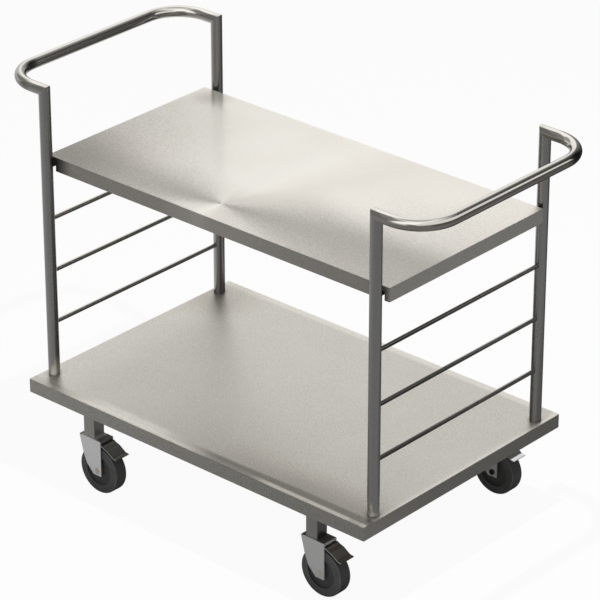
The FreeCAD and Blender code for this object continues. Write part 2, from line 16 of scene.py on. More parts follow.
import bpy
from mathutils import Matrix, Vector


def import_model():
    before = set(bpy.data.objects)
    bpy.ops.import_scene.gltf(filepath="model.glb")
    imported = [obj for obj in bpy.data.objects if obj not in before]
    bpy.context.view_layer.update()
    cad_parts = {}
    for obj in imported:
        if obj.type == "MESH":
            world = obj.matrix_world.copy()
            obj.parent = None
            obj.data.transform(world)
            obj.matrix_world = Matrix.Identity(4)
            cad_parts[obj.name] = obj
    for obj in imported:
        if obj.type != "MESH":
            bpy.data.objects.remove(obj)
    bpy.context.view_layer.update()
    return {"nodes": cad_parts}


log = logging.getLogger("trolley")

Colour = tuple[float, float, float]
Point = tuple[float, float, float]
Span = tuple[float, float]
Socket = bpy.types.NodeSocket

RUNGS_PER_END = 4
WHITE = (1.0, 1.0, 1.0, 1.0)
UP = (0.0, 0.0, 1.0)
# Share of its tone that a tube loses where it shows in other steel.
MIRRORED_LOSS = 0.8
# Rays that feel for near surfaces and edges.
PROBE_RAYS = 4
# Parts of a noise's range that show as tone, as roughness and as clouds.
TONE_RANGE = (0.25, 0.75)
ROUGH_RANGE = (0.2, 0.8)
CLOUD_RANGE = (0.3, 0.7)
# Turns of a face, from -1 to 1 along an axis, over which a look changes.
LYING = (0.4, 0.6)
UPRIGHT = (0.5, 0.8)
FRONTWARD = (-0.5, -0.8)
DOWNWARD = (-0.4, -0.6)
FOLD = (0.6, 0.75)


class Side(Enum):
    """End of the trolley, seen from its front."""

    LEFT = "left"
    RIGHT = "right"


class Corner(Enum):
    """Corner of the trolley, which has a post, a leg and a castor."""

    FRONT_LEFT = "front_left"
    FRONT_RIGHT = "front_right"
    BACK_LEFT = "back_left"
    BACK_RIGHT = "back_right"

    @property
    def side(self) -> Side:
        """End that the corner belongs to."""
        return Side(self.value.split("_")[1])


class Normal(Enum):
    """Which of a face's normals is read."""

    FLAT = "True Normal"
    SMOOTH = "Normal"


class Graph:
    """Node tree of one material or world, with short calls to add and join its nodes."""

    def __init__(self, owner: bpy.types.Material | bpy.types.World) -> None:
        """Take over the owner's node tree and empty it.

        Args:
            owner: Material or world that the tree belongs to.
        """
        self.owner = owner
        owner.use_nodes = True
        self.tree = owner.node_tree
        self.tree.nodes.clear()

    @classmethod
    def for_material(cls, name: str) -> Graph:
        """Start the graph of a new material."""
        return cls(bpy.data.materials.new(name))

    def add(self, kind: str, sockets: dict[str | int, Any] | None = None, **settings: Any) -> bpy.types.Node:
        """Add a node, set its properties and fill its sockets.

        Args:
            kind: Blender's name of the node type.
            sockets: Values or output sockets by input name or index.
            **settings: Properties of the node.

        Returns:
            The new node.
        """
        node = self.tree.nodes.new(kind)
        for key, value in settings.items():
            setattr(node, key, value)
        for key, value in (sockets or {}).items():
            if isinstance(value, Socket):
                self.tree.links.new(value, node.inputs[key])
            else:
                node.inputs[key].default_value = value
        return node

    def place(self) -> Socket:
        """Coordinates in metres that move with the piece."""
        return self.add("ShaderNodeTexCoord").outputs["Object"]

    def parts(self, vector: Any) -> bpy.types.NodeOutputs:
        """Split a vector into its X, Y and Z sockets."""
        return self.add("ShaderNodeSeparateXYZ", {0: vector}).outputs

    def spot(self) -> bpy.types.NodeOutputs:
        """Split the place into its X, Y and Z sockets."""
        return self.parts(self.place())

    def math(self, operation: str, first: Any, second: Any = 0.0, clamp: bool = False) -> Socket:
        """Add one step of arithmetic by Blender's name for it; a clamped result stays from 0 to 1."""
        return self.add("ShaderNodeMath", {0: first, 1: second}, operation=operation, use_clamp=clamp).outputs[0]

    def unsigned(self, value: Any) -> Socket:
        """Drop the sign of a value."""
        return self.math("ABSOLUTE", value)

    def times(self, *factors: Any) -> Socket:
        """Multiply values and sockets."""
        return reduce(partial(self.math, "MULTIPLY"), factors)

    def most(self, *values: Any) -> Socket:
        """Take the largest of some values and sockets."""
        return reduce(partial(self.math, "MAXIMUM"), values)

    def lessen(self, tone: Any, loss: Any) -> Socket:
        """Take a share from 0 to 1 off a tone."""
        return self.times(tone, self.math("SUBTRACT", 1.0, loss))

    def hypot(self, first: Any, second: Any) -> Socket:
        """Length of two offsets at right angles."""
        return self.math("SQRT", self.math("ADD", self.times(first, first), self.times(second, second)))

    def vector(self, operation: str, first: Any, second: Any = (0.0, 0.0, 0.0)) -> Socket:
        """Add one vector step and return its vector socket."""
        return self.add("ShaderNodeVectorMath", {0: first, 1: second}, operation=operation).outputs["Vector"]

    def measure(self, operation: str, first: Any, second: Any) -> Socket:
        """Add one vector step that gives a number, and return its socket."""
        return self.add("ShaderNodeVectorMath", {0: first, 1: second}, operation=operation).outputs["Value"]

    def level(self, vector: Any) -> Socket:
        """Unit vector along the level part of a vector."""
        return self.vector("NORMALIZE", self.vector("MULTIPLY", vector, (1.0, 1.0, 0.0)))

    def toward(self, direction: Any, side: Point) -> Socket:
        """How far a direction points to one side, from 0 to 1."""
        return self.most(self.measure("DOT_PRODUCT", direction, side), 0.0)

    def apart(self, angle: Any, middle: float) -> Socket:
        """Distance in radians of an angle from a middle in degrees."""
        return self.math("PINGPONG", self.math("SUBTRACT", angle, math.radians(middle)), math.pi)

    def noise(self, size: float, stretch: Point = (1.0, 1.0, 1.0), detail: float = 2.0) -> Socket:
        """Add noise from 0 to 1.

        Args:
            size: Size of its grains in metres.
            stretch: How much longer the grains are along X, Y and Z.
            detail: Levels of finer noise.

        Returns:
            The noise's socket.
        """
        squeeze = tuple(1.0 / (size * part) for part in stretch)
        scaled = self.vector("MULTIPLY", self.place(), squeeze)
        return self.add("ShaderNodeTexNoise", {"Vector": scaled, "Scale": 1.0, "Detail": detail}).outputs[0]

    def span(self, value: Any, low: Any, high: Any, to_low: Any, to_high: Any) -> Socket:
        """Map a value smoothly from one span to another; the span read may also run downward."""
        sockets = {"Value": value, "From Min": low, "From Max": high, "To Min": to_low, "To Max": to_high}
        return self.add("ShaderNodeMapRange", sockets, interpolation_type="SMOOTHSTEP").outputs["Result"]

    def grow(self, value: Any, reach: Span, full: Any = 1.0) -> Socket:
        """Grow from nought at the start of a span to a full value at its end."""
        return self.span(value, *reach, 0.0, full)

    def blend(self, factor: Any, first: Any, second: Any, kind: str = "FLOAT") -> Socket:
        """Blend from one value to another by a factor from 0 to 1; the kind is Blender's name of the values' type."""
        return self.add("ShaderNodeMix", {"Factor": factor, "A": first, "B": second}, data_type=kind).outputs["Result"]

    def ramp(self, value: Any, stops: tuple[Span, ...]) -> Socket:
        """Map a value through a row of stops.

        Args:
            value: Value or socket.
            stops: Places in rising order, each with its result from 0 to 1.

        Returns:
            The result's socket.
        """
        first, last = stops[0][0], stops[-1][0]
        scaled = self.math("DIVIDE", self.math("SUBTRACT", value, first), last - first)
        node = self.add("ShaderNodeValToRGB", {0: scaled})
        stripes = node.color_ramp.elements
        while len(stripes) < len(stops):
            stripes.new(1.0)
        for stripe, (place, level) in zip(stripes, stops):
            stripe.position = (place - first) / (last - first)
            stripe.color = (level, level, level, 1.0)
        return node.outputs[0]

    def shade(self, colour: Colour, factor: Any) -> Socket:
        """Multiply a colour by a factor."""
        return self.add("ShaderNodeVectorMath", {0: colour, "Scale": factor}, operation="SCALE").outputs["Vector"]

    def dimmed(self, tone: Any, share: Any) -> Socket:
        """Take a share off a tone where the piece shows in another piece's gloss."""
        mirrored = self.add("ShaderNodeLightPath").outputs["Is Glossy Ray"]
        return self.lessen(tone, self.times(mirrored, share))

    def normal(self, kind: Normal) -> Socket:
        """Read the flat or the smooth normal."""
        return self.add("ShaderNodeNewGeometry").outputs[kind.value]

    def facing(self, axis: str, kind: Normal = Normal.FLAT) -> Socket:
        """How far the face looks along one axis, from -1 to 1."""
        return self.parts(self.normal(kind))[axis]

    def crisp(self) -> Socket:
        """Turn the smooth normal sharply at a fold, as a tightly pressed sheet shows it.

        Returns:
            The normal's socket.
        """
        normal = self.normal(Normal.SMOOTH)
        height = self.parts(normal)["Z"]
        lying = self.grow(self.unsigned(height), FOLD)
        upright = self.add("ShaderNodeCombineXYZ", {2: self.math("SIGN", height)}).outputs[0]
        return self.vector("NORMALIZE", self.blend(lying, self.level(normal), upright, kind="VECTOR"))

    def bump(self, height: Any, depth: float, normal: Any = None) -> Socket:
        """Turn a height from 0 to 1 into a bumped normal.

        Args:
            height: Height socket.
            depth: Depth in metres.
            normal: Normal to start from.

        Returns:
            The normal's socket.
        """
        sockets = {"Height": height, "Distance": depth, "Strength": 1.0}
        if normal is not None:
            sockets["Normal"] = normal
        return self.add("ShaderNodeBump", sockets).outputs["Normal"]

    def finish(self, sockets: dict[str | int, Any]) -> bpy.types.Material:
        """Close the graph with one surface shader.

        Args:
            sockets: Values or sockets of the surface shader.

        Returns:
            The finished material.
        """
        surface = self.add("ShaderNodeBsdfPrincipled", sockets)
        self.add("ShaderNodeOutputMaterial", {"Surface": surface.outputs[0]})
        return self.owner


@dataclass(frozen=True)
class Mark:
    """Soft-edged mark on a sheet, nought at the start of each span and its full share at the end.

    Its edge along Y may move back over a span of X.
    """

    share: float
    x: Span
    y: Span
    widen: float = 0.0
    widen_x: Span = (0.0, 1.0)

    def mask(self, graph: Graph) -> Socket:
        """Find how strong the mark is at each place.

        Args:
            graph: Graph of the material.

        Returns:
            The socket of its share.
        """
        spot = graph.spot()
        inward = graph.math("SUBTRACT", spot["Y"], graph.grow(spot["X"], self.widen_x, self.widen))
        return graph.times(graph.grow(spot["X"], self.x, self.share), graph.grow(inward, self.y))


@dataclass(frozen=True)
class PostReflection:
    """Round darker spot on a sheet: a painted dark reflection of a post."""

    place: Point
    radius: float
    loss: float

    def mask(self, graph: Graph) -> Socket:
        """Find the share of the tone that is lost at each place."""
        return graph.span(graph.measure("DISTANCE", graph.place(), self.place), 0.0, self.radius, self.loss, 0.0)


@dataclass(frozen=True)
class Fan:
    """Brushing round one point of a sheet, which spreads the light into a fan.

    The sheet is brushed finer in a field behind the point, to the right in front of it and along the back edge. Its
    speckle is weaker straight before and behind the point, and its left side is painted paler, a painted sheen.
    """

    centre: Point
    calm_turn: Span = (0.6, 0.95)
    calm_share: float = 0.2
    # Painted sheen on the left of the point.
    painted_sheen: float = 0.13
    sheen_left: Span = (-0.95, -0.72)
    sheen_right: Span = (0.5, 0.0)
    finer: float = 0.17
    field_x: Span = (-0.40, -0.18)
    field_y: Span = (-0.17, -0.06)
    lean: float = 0.06
    lean_y: Span = (0.03, -0.05)
    step: float = 0.096
    step_near: Span = (0.0, 0.12)
    step_far: Span = (0.12, 0.28)
    step_left: float = 0.5
    front_turn: Span = (-0.15, -0.5)
    front_side: Span = (-0.7, -0.2)
    back_y: Span = (0.12, 0.19)

    def away(self, graph: Graph) -> Socket:
        """Level direction from the point to each place."""
        return graph.level(graph.vector("SUBTRACT", graph.place(), self.centre))

    def speckle_share(self, graph: Graph) -> Socket:
        """Share of the speckle that shows in each direction."""
        aside = graph.unsigned(graph.parts(self.away(graph))["X"])
        return graph.span(aside, *self.calm_turn, self.calm_share, 1.0)

    def tone(self, graph: Graph) -> Socket:
        """Painted sheen: tone in each direction, which is above one on the left."""
        aside = graph.parts(self.away(graph))["X"]
        return graph.math("ADD", 1.0, graph.times(graph.grow(aside, self.sheen_left, self.painted_sheen),
                                                  graph.grow(aside, self.sheen_right)))

    def fineness(self, graph: Graph) -> Socket:
        """Find how much roughness the finer brushing takes off.

        Args:
            graph: Graph of the material.

        Returns:
            The socket of the roughness to take off.
        """
        spot, away = graph.spot(), graph.parts(self.away(graph))
        right = graph.math("SUBTRACT", spot["X"], self.centre[0])
        step = graph.times(graph.grow(right, self.step_near, self.step),
                           graph.span(right, *self.step_far, 1.0, self.step_left))
        leant = graph.math("ADD", spot["X"], graph.grow(spot["Y"], self.lean_y, self.lean))
        behind = graph.times(graph.grow(leant, self.field_x, self.finer),
                             graph.grow(graph.math("SUBTRACT", spot["Y"], step), self.field_y))
        front = graph.times(graph.grow(away["Y"], self.front_turn, self.finer),
                            graph.grow(away["X"], self.front_side))
        return graph.most(behind, front, graph.grow(spot["Y"], self.back_y, self.finer))


@dataclass(frozen=True)
class SheetFinish:
    """Brushed stainless sheet.

    The grooves run round the fan's point, or straight across where there is no fan, and the highlight spreads at right
    angles to them. The top is duller than the lips. Of the painted shade marks, which lie on the top, the strongest
    counts, and the painted lit strip takes them off again. The gleam is where two marks overlap.
    """

    name: str
    colour: Colour
    roughness: float
    spread: float
    dull_top: float
    dull_lips: float
    mirrored_loss: float
    post_reflection: PostReflection
    shade_marks: tuple[Mark, ...]
    lit_strip: Mark | None = None
    gleam: tuple[Mark, Mark] | None = None
    fan: Fan | None = None
    rough_half: float = 0.03
    speckle: float = 0.2
    speckle_size: float = 0.0013
    speckle_stretch: Point = (1.0, 1.0, 1.0)
    speckle_depth: float = 0.00002
    cloud: float = 0.015
    cloud_size: float = 0.12
    # Painted highlight on the end lips and painted shadow at the left end of the front lip.
    end_highlight: float = 0.0
    lip_shadow: float = 0.0
    lip_shadow_x: Span = (-0.375, -0.425)
    contact: float = 0.012
    contact_open: Span = (0.3, 0.95)
    contact_tone: float = 0.4
    feet: Point | None = None
    feet_reach: Span = (0.03, 0.11)
    feet_share: float = 0.3

    def material(self) -> bpy.types.Material:
        """Build the sheet's material.

        Returns:
            The finished material.
        """
        graph = Graph.for_material(self.name)
        speckle = graph.noise(self.speckle_size, self.speckle_stretch, detail=0.0)
        tone = graph.times(self.speckled(graph, speckle), self.lip_light_and_shade(graph), self.contact_shade(graph))
        tone = graph.lessen(graph.lessen(tone, self.post_reflection.mask(graph)), self.painted_shade(graph))
        rough = graph.span(speckle, *ROUGH_RANGE, self.roughness - self.rough_half, self.roughness + self.rough_half)
        if self.fan is not None:
            tone = graph.times(tone, self.fan.tone(graph))
            rough = graph.math("SUBTRACT", rough, self.fan.fineness(graph))
        if self.gleam is not None:
            rough = graph.math("SUBTRACT", rough, graph.times(*(mark.mask(graph) for mark in self.gleam)))
        return graph.finish({
            "Base Color": graph.shade(self.colour, graph.dimmed(tone, self.mirrored_share(graph))),
            "Metallic": graph.span(graph.facing("Z"), *LYING, 1.0 - self.dull_lips, 1.0 - self.dull_top),
            "Roughness": rough,
            "Anisotropic": self.spread,
            "Normal": graph.bump(speckle, self.speckle_depth, graph.crisp()),
            "Tangent": self.tangent(graph),
        })

    def speckled(self, graph: Graph, speckle: Any) -> Socket:
        """Lay the speckle over faint clouds.

        Args:
            graph: Graph of the material.
            speckle: Socket of the speckle's noise.

        Returns:
            The tone's socket.
        """
        fine = graph.span(speckle, *TONE_RANGE, -self.speckle, self.speckle)
        if self.fan is not None:
            fine = graph.times(fine, self.fan.speckle_share(graph))
        clouds = graph.span(graph.noise(self.cloud_size), *CLOUD_RANGE, 1.0 - self.cloud, 1.0 + self.cloud)
        return graph.math("ADD", fine, clouds)

    def lip_light_and_shade(self, graph: Graph) -> Socket:
        """Paint the end lips paler, a painted highlight, and the left end of the front lip darker, a painted shadow
        beside the front left post.

        Args:
            graph: Graph of the material.

        Returns:
            The tone's socket.
        """
        ends = graph.span(graph.unsigned(graph.facing("X")), *UPRIGHT, 1.0, 1.0 + self.end_highlight)
        front = graph.grow(graph.facing("Y"), FRONTWARD, self.lip_shadow)
        return graph.lessen(ends, graph.times(front, graph.grow(graph.spot()["X"], self.lip_shadow_x)))

    def contact_shade(self, graph: Graph) -> Socket:
        """Tone that darkens close to other pieces."""
        near = graph.add("ShaderNodeAmbientOcclusion", {"Distance": self.contact}, samples=PROBE_RAYS).outputs["AO"]
        return graph.span(near, *self.contact_open, self.contact_tone, 1.0)

    def painted_shade(self, graph: Graph) -> Socket:
        """Join the painted shade marks on the top.

        Args:
            graph: Graph of the material.

        Returns:
            The socket of the share of the tone that they take.
        """
        loss = graph.most(*(shade_mark.mask(graph) for shade_mark in self.shade_marks))
        if self.lit_strip is not None:
            loss = graph.lessen(loss, self.lit_strip.mask(graph))
        return graph.times(loss, graph.grow(graph.facing("Z"), LYING))

    def mirrored_share(self, graph: Graph) -> Socket:
        """Find how much of the sheet's tone is lost where it shows in other steel: less beside the front posts' feet.

        Args:
            graph: Graph of the material.

        Returns:
            The share's socket.
        """
        share = graph.span(graph.facing("Z"), *DOWNWARD, self.mirrored_loss, 0.0)
        if self.feet is not None:
            spot = graph.spot()
            beside = graph.math("SUBTRACT", graph.unsigned(spot["X"]), self.feet[0])
            before = graph.math("SUBTRACT", spot["Y"], self.feet[1])
            away = graph.hypot(beside, before)
            share = graph.times(share, graph.span(away, *self.feet_reach, self.feet_share, 1.0))
        return share

    def tangent(self, graph: Graph) -> Socket:
        """Direction that the highlight follows: by the grooves on the top and level on the lips.

        Args:
            graph: Graph of the material.

        Returns:
            The direction's socket.
        """
        if self.fan is not None:
            grooves = self.fan.away(graph)
        else:
            grooves = graph.add("ShaderNodeCombineXYZ", {0: 1.0}).outputs[0]
        lying = graph.math("GREATER_THAN", graph.unsigned(graph.facing("Z")), sum(LYING) / 2)
        level = graph.vector("CROSS_PRODUCT", graph.normal(Normal.FLAT), UP)
        return graph.blend(lying, level, grooves, kind="VECTOR")


@dataclass(frozen=True)
class MitreRunShade:
    """Painted shade on the flank of the short run between a handle's mitre and its bend.

    The painted shade ends at a line that comes down from the crest of the tube as the run goes outward.
    """

    x: Span
    line: Span = (0.95, 0.5)
    line_soft: float = 0.08
    flank: Span = (0.0, 0.45)
    stop: Span = (0.006, -0.002)
    loss: float = 0.3

    def mask(self, graph: Graph) -> Socket:
        """Find the share of the tone that is lost at each place.

        Args:
            graph: Graph of the material.

        Returns:
            The share's socket.
        """
        out = graph.unsigned(graph.spot()["X"])
        rise = graph.facing("Z", Normal.SMOOTH)
        over = graph.math("SUBTRACT", rise, graph.span(out, *self.x, *self.line))
        shaded = graph.grow(over, (self.line_soft, -self.line_soft), self.loss)
        ends = (self.x[1] + self.stop[0], self.x[1] + self.stop[1])
        return graph.times(shaded, graph.grow(rise, self.flank), graph.grow(out, ends))


@dataclass(frozen=True)
class PaintedBendShade:
    """Painted dark reflections on the sides of a handle's bend at the front left or the back right corner.

    One share is lost on the side that looks to the back right, the other on the side that looks to the front left.
    """

    back_loss: float
    front_loss: float
    turn: Span
    x: Span = (0.455, 0.475)
    y: Span = (0.15, 0.19)
    back_right: Point = (0.707, 0.707, 0.0)

    def mask(self, graph: Graph) -> Socket:
        """Find the share of the tone that is lost at each place.

        Args:
            graph: Graph of the material.

        Returns:
            The share's socket.
        """
        spot = graph.spot()
        turned = graph.measure("DOT_PRODUCT", graph.normal(Normal.SMOOTH), self.back_right)
        back = graph.grow(turned, self.turn, self.back_loss)
        front = graph.grow(turned, (-self.turn[0], -self.turn[1]), self.front_loss)
        corner = graph.math("GREATER_THAN", graph.times(spot["X"], spot["Y"]), 0.0)
        return graph.times(graph.math("ADD", back, front), corner,
                           graph.grow(graph.unsigned(spot["X"]), self.x), graph.grow(graph.unsigned(spot["Y"]), self.y))


@dataclass(frozen=True)
class TubeFinish:
    """Stainless tube or bar, satin or polished, with fine drawn lines along it.

    It may carry painted light and shade from front to back, painted shade on its right side, and show clear in other
    steel above some height.
    """

    name: str
    colour: Colour
    roughness: float
    line_size: float = 0.0012
    line_stretch: Point = (1.0, 1.0, 40.0)
    line_depth: float = 0.4
    line_tone: float = 0.05
    line_rough: float = 0.12
    line_height: float = 0.000004
    marks: tuple[MitreRunShade | PaintedBendShade, ...] = ()
    side_shade: float = 1.0
    light_fade: Span = (1.0, 1.0)
    light_fade_y: Span = (-0.16, 0.24)
    clear_z: Span | None = None

    def material(self) -> bpy.types.Material:
        """Build the tube's material.

        Returns:
            The finished material.
        """
        graph = Graph.for_material(self.name)
        lines = graph.noise(self.line_size, self.line_stretch)
        deep, coarse = self.line_tone * self.line_depth, self.line_rough * self.line_depth
        tone = graph.times(graph.span(lines, *TONE_RANGE, 1.0 - deep, 1.0 + deep),
                           graph.span(graph.spot()["Y"], *self.light_fade_y, *self.light_fade),
                           graph.span(graph.facing("X"), *UPRIGHT, 1.0, self.side_shade))
        for mark in self.marks:
            tone = graph.lessen(tone, mark.mask(graph))
        mirrored: Any = MIRRORED_LOSS
        if self.clear_z is not None:
            mirrored = graph.span(graph.spot()["Z"], *self.clear_z, MIRRORED_LOSS, 0.0)
        return graph.finish({
            "Base Color": graph.shade(self.colour, graph.dimmed(tone, mirrored)),
            "Metallic": 1.0,
            "Roughness": graph.span(lines, *ROUGH_RANGE, self.roughness * (1.0 - coarse),
                                    self.roughness * (1.0 + coarse)),
            "Normal": graph.bump(lines, self.line_height * self.line_depth),
        })


@dataclass(frozen=True)
class PlateFinish:
    """Plated steel plate.

    The faces that look along Y may show a painted highlight along the cut edge, the top may carry painted shade except
    round a leg's foot, where it carries a painted reflection of the leg, the right side may carry painted shade, the
    part near the trolley's middle is black, and painted bands of light and shade may cross it.
    """

    name: str
    colour: Colour
    roughness: float
    metallic: float = 1.0
    rough_reach: Span = (-0.03, 0.05)
    mottle: float = 0.05
    mottle_size: float = 0.004
    mottle_depth: float = 0.00001
    edge_round: float = 0.0006
    cut_highlight: Colour | None = None
    cut_metallic: float = 0.2
    cut_turn: float = 0.9
    top_shade: float = 1.0
    top_turn: Span = (0.7, 0.9)
    foot: Point | None = None
    foot_half: float = 0.015
    foot_reach: Span = (0.01, 0.0)
    foot_side: float = 0.0
    nose_shade: float = 1.0
    black_inside: float | None = None
    black_soft: float = 0.004
    black_tone: float = 0.03
    shade_bands: tuple[Span, ...] = ()
    shade_bands_from: float = 0.0

    def material(self) -> bpy.types.Material:
        """Build the plate's material.

        Returns:
            The finished material.
        """
        graph = Graph.for_material(self.name)
        mottle = graph.noise(self.mottle_size, detail=3.0)
        colour = graph.shade(self.colour, self.tone(graph, mottle))
        metallic: Any = self.metallic
        if self.cut_highlight is not None:
            cut = graph.math("GREATER_THAN", graph.unsigned(graph.facing("Y")), self.cut_turn)
            colour = graph.blend(cut, colour, (*self.cut_highlight, 1.0), kind="RGBA")
            metallic = graph.span(cut, 0.0, 1.0, self.metallic, self.cut_metallic)
        rounded = graph.add("ShaderNodeBevel", {"Radius": self.edge_round}, samples=PROBE_RAYS).outputs["Normal"]
        smoother, rougher = (self.roughness + step for step in self.rough_reach)
        return graph.finish({
            "Base Color": colour,
            "Metallic": metallic,
            "Roughness": graph.span(mottle, *ROUGH_RANGE, smoother, rougher),
            "Normal": graph.bump(mottle, self.mottle_depth, rounded),
        })

    def tone(self, graph: Graph, mottle: Any) -> Socket:
        """Join the plate's shades.

        Args:
            graph: Graph of the material.
            mottle: Socket of the mottle's noise.

        Returns:
            The tone's socket.
        """
        top = graph.grow(graph.facing("Z"), self.top_turn, 1.0 - self.top_shade)
        if self.foot is not None:
            top = graph.lessen(top, self.painted_leg_reflection(graph))
        tone = graph.lessen(graph.span(mottle, *TONE_RANGE, 1.0 - self.mottle, 1.0 + self.mottle), top)
        tone = graph.times(tone, graph.span(graph.facing("X"), *UPRIGHT, 1.0, self.nose_shade))
        if self.black_inside is not None:
            out = graph.unsigned(graph.spot()["Y"])
            black = (self.black_inside, self.black_inside + self.black_soft)
            tone = graph.times(tone, graph.span(out, *black, self.black_tone, 1.0))
        if self.shade_bands:
            along = graph.math("SUBTRACT", graph.spot()["X"], self.shade_bands_from)
            tone = graph.times(tone, graph.ramp(along, self.shade_bands))
        return tone

    def painted_leg_reflection(self, graph: Graph) -> Socket:
        """Find the places beside a leg's foot that carry a painted reflection of the leg.

        Args:
            graph: Graph of the material.

        Returns:
            A socket, one beside the foot and nought away from it.
        """
        spot = graph.spot()
        gaps = []
        for axis, middle in zip("XY", self.foot):
            off = graph.unsigned(graph.math("SUBTRACT", graph.unsigned(spot[axis]), middle))
            gaps.append(graph.most(graph.math("SUBTRACT", off, self.foot_half), 0.0))
        beside, before = gaps
        front = graph.times(graph.math("GREATER_THAN", before, 0.0), graph.math("LESS_THAN", beside, self.edge_round))
        return graph.most(front, graph.grow(graph.hypot(beside, before), self.foot_reach, self.foot_side))


@dataclass(frozen=True)
class MouldedFinish:
    """Rubber or moulded plastic with a fine matt skin, dust, and on a tyre painted shade on the tread and a painted
    highlight on the shoulder.
    """

    name: str
    colour: Colour
    roughness: float
    rough_half: float = 0.06
    skin: Span = (0.9, 1.1)
    skin_size: float = 0.0015
    skin_depth: float = 0.00005
    dust: Span = (0.93, 1.08)
    dust_size: float = 0.02
    tread_shade: float = 1.0
    tread_turn: Span = (0.6, 0.85)
    shoulder_highlight: float = 0.0
    shoulder_turn: float = 0.85
    shoulder_span: Span = (0.06, 0.14)

    def material(self) -> bpy.types.Material:
        """Build the moulded material.

        Returns:
            The finished material.
        """
        graph = Graph.for_material(self.name)
        skin = graph.noise(self.skin_size, detail=3.0)
        turn = graph.unsigned(graph.facing("Y", Normal.SMOOTH))
        off_shoulder = graph.unsigned(graph.math("SUBTRACT", turn, self.shoulder_turn))
        tone = graph.times(graph.span(skin, *TONE_RANGE, *self.skin),
                           graph.span(graph.noise(self.dust_size), *CLOUD_RANGE, *self.dust),
                           graph.span(graph.unsigned(graph.facing("Y")), *self.tread_turn, self.tread_shade, 1.0),
                           graph.span(off_shoulder, *self.shoulder_span, 1.0 + self.shoulder_highlight, 1.0))
        return graph.finish({
            "Base Color": graph.shade(self.colour, tone),
            "Roughness": graph.span(skin, *ROUGH_RANGE, self.roughness - self.rough_half,
                                    self.roughness + self.rough_half),
            "Normal": graph.bump(skin, self.skin_depth),
        })


Finish = SheetFinish | TubeFinish | PlateFinish | MouldedFinish

PLAIN_STEEL = PlateFinish("plain_steel", (0.5, 0.5, 0.5), roughness=0.4)


@dataclass
class Dresser:
    """Puts finishes on CAD nodes and keeps each finish's material for the next piece."""

    nodes: dict[str, bpy.types.Object]
    made: dict[str, bpy.types.Material] = field(default_factory=dict)

    def dress(self, node: str, finish: Finish) -> None:
        """Give one node a finish.

        Args:
            node: Name of the CAD node.
            finish: Finish that it gets.
        """
        if finish.name not in self.made:
            self.made[finish.name] = finish.material()
        mesh = self.nodes[node].data
        mesh.materials.clear()
        mesh.materials.append(self.made[finish.name])
        log.info("%s: %s", node, finish.name)


@dataclass
class Trays:
    """Deck and upper shelf."""

    dresser: Dresser
    shelf_colour: Colour = (0.90, 0.857, 0.785)
    deck_colour: Colour = (0.965, 0.915, 0.828)
    flare: Point = (-0.030, -0.1675, 0.0)
    front_post: Point = (0.429, -0.248, 0.0)

    def dress(self) -> None:
        """Give both trays their brushed sheet."""
        self.dresser.dress("upper_shelf", self.shelf())
        self.dresser.dress("deck", self.deck())

    def shelf(self) -> SheetFinish:
        """Shelf: brushed round one point, with painted shade at its front left corner and a painted dark reflection of
        the back left post.

        Returns:
            The shelf's finish.
        """
        return SheetFinish(
            name="shelf_sheet",
            colour=self.shelf_colour,
            roughness=0.50,
            spread=0.95,
            dull_top=0.10,
            dull_lips=0.18,
            mirrored_loss=0.75,
            # Painted dark reflection of the back left post.
            post_reflection=PostReflection(place=(-0.398, 0.198, 0.687), radius=0.06, loss=0.3),
            # Painted shade at the front left corner.
            shade_marks=(Mark(share=0.25, x=(-0.20, -0.42), y=(0.0, -0.2)),),
            fan=Fan(self.flare),
            end_highlight=0.15,
            lip_shadow=0.8,
        )

    def deck(self) -> SheetFinish:
        """Deck: brushed across, with painted shade along its front edge and a painted dark reflection of the back left
        post.

        Returns:
            The deck's finish.
        """
        # Painted shade along the front edge and at the front left corner; the strip at the front right edge is a
        # painted lit strip; the gleam only smooths the roughness.
        band = Mark(share=0.3, x=(-0.1, 0.3), y=(-0.17, -0.275))
        edge = Mark(share=0.57, x=(-0.04, 0.07), y=(-0.268, -0.282), widen=0.008, widen_x=(0.05, 0.3))
        corner = Mark(share=0.3, x=(-0.28, -0.36), y=(-0.272, -0.298))
        gleam_start = Mark(share=0.12, x=(-0.32, -0.24), y=(-0.299, -0.287))
        gleam_end = Mark(share=1.0, x=(-0.02, -0.10), y=(-0.262, -0.276))
        return SheetFinish(
            name="deck_sheet",
            colour=self.deck_colour,
            roughness=0.42,
            spread=0.65,
            dull_top=0.22,
            dull_lips=0.0,
            mirrored_loss=0.8,
            # Painted dark reflection of the back left post.
            post_reflection=PostReflection(place=(-0.41, 0.225, 0.2095), radius=0.13, loss=0.25),
            shade_marks=(band, edge, corner),
            lit_strip=Mark(share=0.75, x=(0.15, 0.21), y=(-0.286, -0.292)),
            gleam=(gleam_start, gleam_end),
            speckle_stretch=(1.0, 2.0, 1.0),
            feet=self.front_post,
        )


@dataclass(frozen=True)
class EndLook:
    """What sets the handle and the rungs of one end apart: the handle's painted bend shade and the rungs' painted light
    and shade from front to back.
    """

    bend: PaintedBendShade
    rung_light_fade: Span


